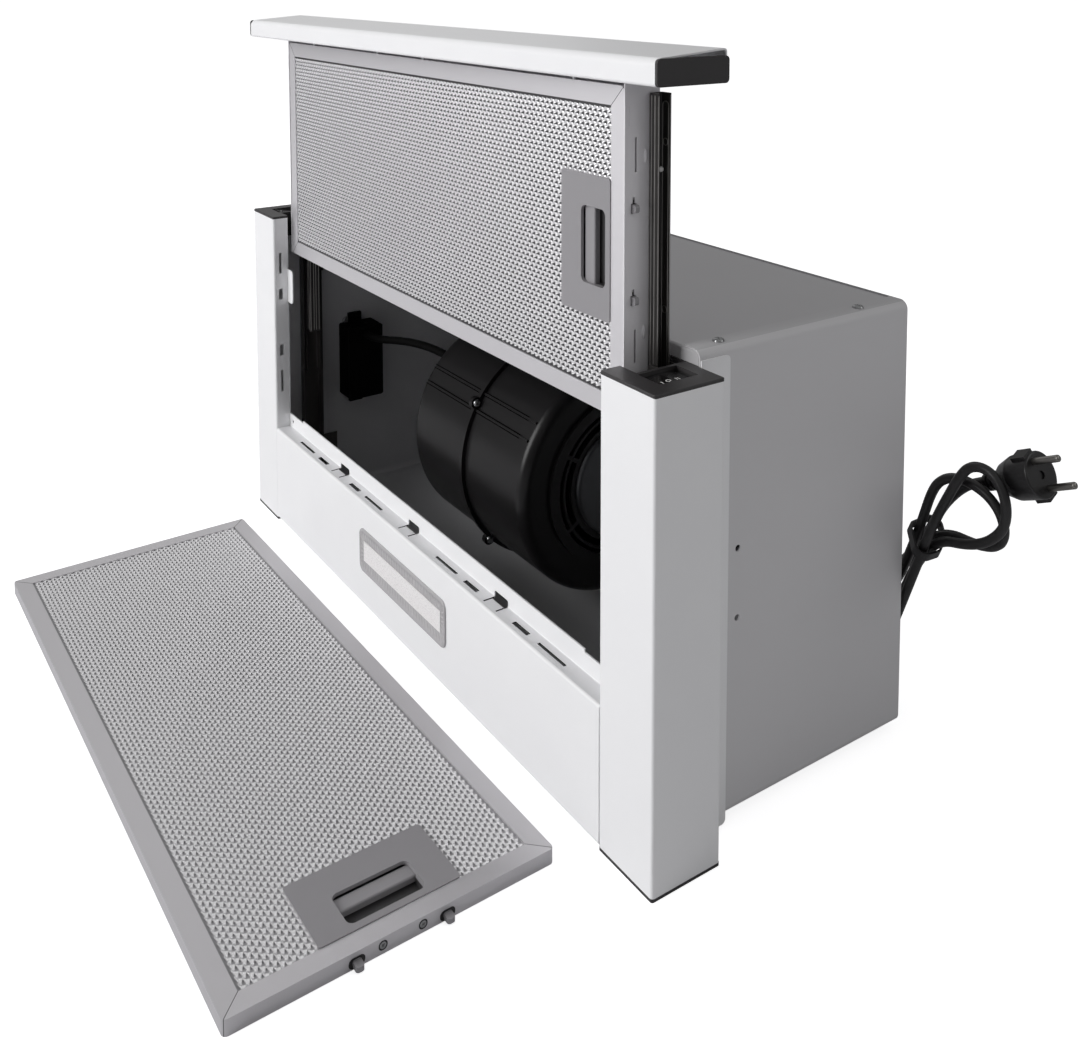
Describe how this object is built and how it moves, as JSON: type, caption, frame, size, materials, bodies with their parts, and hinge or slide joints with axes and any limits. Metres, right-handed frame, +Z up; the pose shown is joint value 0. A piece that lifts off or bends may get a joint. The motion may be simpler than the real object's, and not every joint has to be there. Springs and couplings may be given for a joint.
{
  "type": "pull-out cooker hood",
  "caption": "Telescopic pull-out cooker hood stood on its rear edge, visor drawn out, with one grease filter fitted and one beside it, fan, lamp, rocker switches, slides and bundled mains lead.",
  "frame": {"origin": "middle of the front panel's lower edge, on the ground that the hood stands on", "axes": "+X to the right along the front strip, +Y from the front panel into the motor box, +Z up, the way the visor is drawn out"},
  "size_m": [0.6797, 0.5092, 0.4674],
  "materials": {
    "white_enamel": "white powder coat, satin",
    "silver_enamel": "light silver-grey coat, satin",
    "visor_enamel": "light grey coat, satin",
    "galvanised": "zinc plated, satin",
    "screw_steel": "zinc plated, bright",
    "black_moulding": "moulded, fine grained",
    "rocker_black": "moulded, smooth",
    "fan_black": "glass-filled moulding",
    "fan_white": "moulded impeller",
    "motor_steel": "plated laminations and bells",
    "capacitor_grey": "moulded can",
    "lamp_grey": "moulded, ribbed",
    "lens_white": "opal lens",
    "board_green": "circuit board",
    "filter_frame_aluminium": "rolled and anodised",
    "filter_mesh_aluminium": "expanded metal",
    "handle_grey": "moulded, satin",
    "latch_grey": "moulded, smooth",
    "spring_steel": "wire",
    "duct_black": "moulded",
    "cord_black": "sheathed cable, satin",
    "tie_black": "tie",
    "plug_black": "moulded",
    "pin_metal": "nickel plated"
  },
  "bodies": {
    "root": {"pillar_left": "white_enamel", "pillar_right": "white_enamel", "light_panel": "white_enamel", "housing_side_left": "silver_enamel", "housing_side_right": "silver_enamel", "housing_top": "silver_enamel", "housing_bottom": "silver_enamel", "housing_back": "silver_enamel", "slide_outer_left": "galvanised", "slide_outer_right": "galvanised", "slide_carriers": "galvanised", "housing_screws": "screw_steel", "blower_screws": "screw_steel", "pillar_cap_left": "black_moulding", "pillar_cap_right": "black_moulding", "pillar_feet": "black_moulding", "control_box": "black_moulding", "speed_switch_body": "black_moulding", "light_switch_body": "black_moulding", "cord_gland": "black_moulding", "blower_case_left": "fan_black", "blower_case_right": "fan_black", "inlet_grille": "fan_black", "fan_motor": "motor_steel", "run_capacitor": "capacitor_grey", "lamp_bezel": "lamp_grey", "lamp_diffuser": "lens_white", "lamp_board": "board_green", "duct_collar": "duct_black", "supply_cord": "cord_black", "supply_cord_hank": "cord_black", "internal_cable": "cord_black", "cord_tie": "tie_black", "plug_body": "plug_black", "plug_pins": "pin_metal"},
    "fan": {"impeller": "fan_white", "motor_shaft": "screw_steel"},
    "slide_middle": {"slide_middle_members": "galvanised", "slide_balls": "galvanised"},
    "visor": {"slide_inner_left": "galvanised", "slide_inner_right": "galvanised", "visor_frame": "visor_enamel", "visor_strip": "white_enamel", "strip_end_caps": "black_moulding", "visor_filter_frame": "filter_frame_aluminium", "visor_filter_mesh": "filter_mesh_aluminium", "visor_filter_handle": "handle_grey", "visor_filter_screws": "screw_steel", "visor_filter_springs": "spring_steel"},
    "visor_latch": {"visor_filter_latch": "latch_grey"},
    "loose_filter": {"loose_filter_frame": "filter_frame_aluminium", "loose_filter_mesh": "filter_mesh_aluminium", "loose_filter_handle": "handle_grey", "loose_filter_screws": "screw_steel", "loose_filter_springs": "spring_steel"},
    "loose_latch": {"loose_filter_latch": "latch_grey"},
    "speed_rocker": {"speed_rocker": "rocker_black"},
    "light_rocker": {"light_rocker": "rocker_black"},
    "damper_flap_left": {"damper_flap_left": "duct_black"},
    "damper_flap_right": {"damper_flap_right": "duct_black"}
  },
  "joints": [
    {"name": "visor_slide", "type": "slide", "parent": "root", "child": "visor", "axis": [0, 0, 1], "range_m": [-0.163, 0]},
    {"name": "slide_middle_travel", "type": "slide", "parent": "root", "child": "slide_middle", "axis": [0, 0, 1], "range_m": [-0.0815, 0]},
    {"name": "fan_spin", "type": "hinge", "parent": "root", "child": "fan", "pos_m": [0.008, 0.1375, 0.13], "axis": [1, 0, 0], "continuous": true},
    {"name": "speed_switch", "type": "hinge", "parent": "root", "child": "speed_rocker", "pos_m": [0.2775, 0.027, 0.2785], "axis": [1, 0, 0], "range_deg": [-12, 12]},
    {"name": "light_switch", "type": "hinge", "parent": "root", "child": "light_rocker", "pos_m": [-0.2775, 0.027, 0.2785], "axis": [1, 0, 0], "range_deg": [0, 24]},
    {"name": "visor_latch", "type": "slide", "parent": "visor", "child": "visor_latch", "axis": [-1, 0, 0], "range_m": [0, 0.006], "stiffness_N_per_m": 400, "springref_m": -0.008},
    {"name": "loose_latch", "type": "slide", "parent": "loose_filter", "child": "loose_latch", "axis": [-0.9999, -0.0131, 0], "range_m": [0, 0.006], "stiffness_N_per_m": 400, "springref_m": -0.008},
    {"name": "loose_filter_lift", "type": "slide", "parent": "root", "child": "loose_filter", "axis": [0, 0, 1], "range_m": [0, 0.15]},
    {"name": "damper_left", "type": "hinge", "parent": "root", "child": "damper_flap_left", "pos_m": [0.0075, 0.24, 0.156], "axis": [0, 0, 1], "range_deg": [-70, 0]},
    {"name": "damper_right", "type": "hinge", "parent": "root", "child": "damper_flap_right", "pos_m": [0.0075, 0.24, 0.156], "axis": [0, 0, 1], "range_deg": [0, 70]}
  ],
  "couplings": [
    {"joint": "slide_middle_travel", "follows": "visor_slide", "ratio": 0.5}
  ]
}
